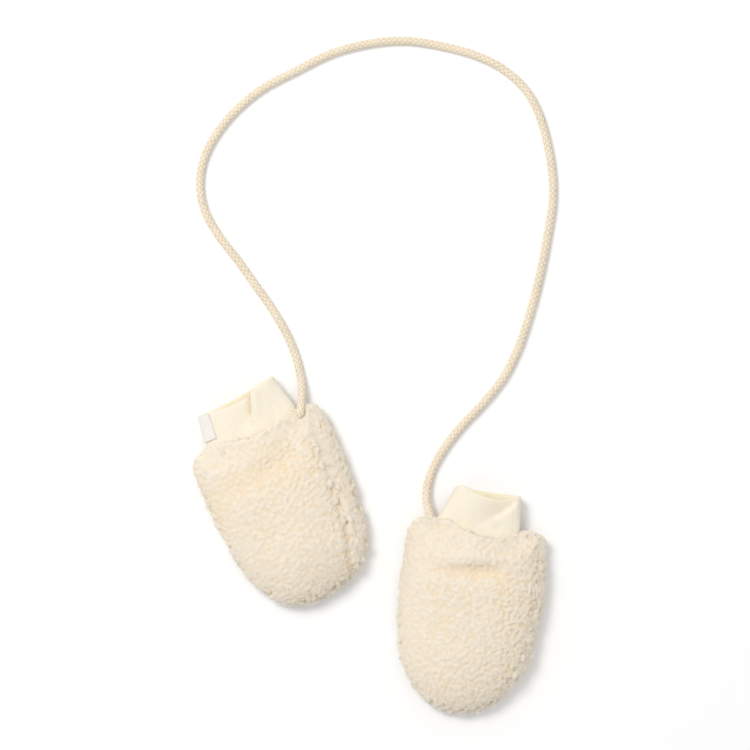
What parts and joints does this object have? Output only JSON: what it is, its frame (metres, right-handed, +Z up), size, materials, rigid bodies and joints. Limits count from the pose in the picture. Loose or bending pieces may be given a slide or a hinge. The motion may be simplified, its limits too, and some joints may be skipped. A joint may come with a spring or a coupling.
{
  "type": "pair of baby mittens",
  "caption": "Pair of thumbless teddy-fleece baby mittens with jersey cuffs, joined by a long round braided cord and laid flat.",
  "frame": {"origin": "middle of the two mittens' footprint, the cord left out, on the surface that they lie on", "axes": "+X across the pair, from the left mitten to the right one; +Y up the sheet, from the mittens' tips towards the cord's loop; +Z up from the surface"},
  "size_m": [0.217, 0.4038, 0.0287],
  "materials": {
    "teddy_fleece": "cream teddy fleece, dense curly pile about 3 mm high with soft tufts",
    "jersey": "cream fine cotton jersey with a soft matt face",
    "woven_label": "off-white woven ribbon, bare",
    "braid": "cream-beige round braid of matt cotton yarns"
  },
  "bodies": {
    "root": {"left_back_panel": "teddy_fleece", "left_palm_panel": "teddy_fleece", "left_cuff": "jersey", "left_label": "woven_label", "right_back_panel": "teddy_fleece", "right_palm_panel": "teddy_fleece", "right_cuff": "jersey", "cord": "braid"}
  },
  "joints": []
}
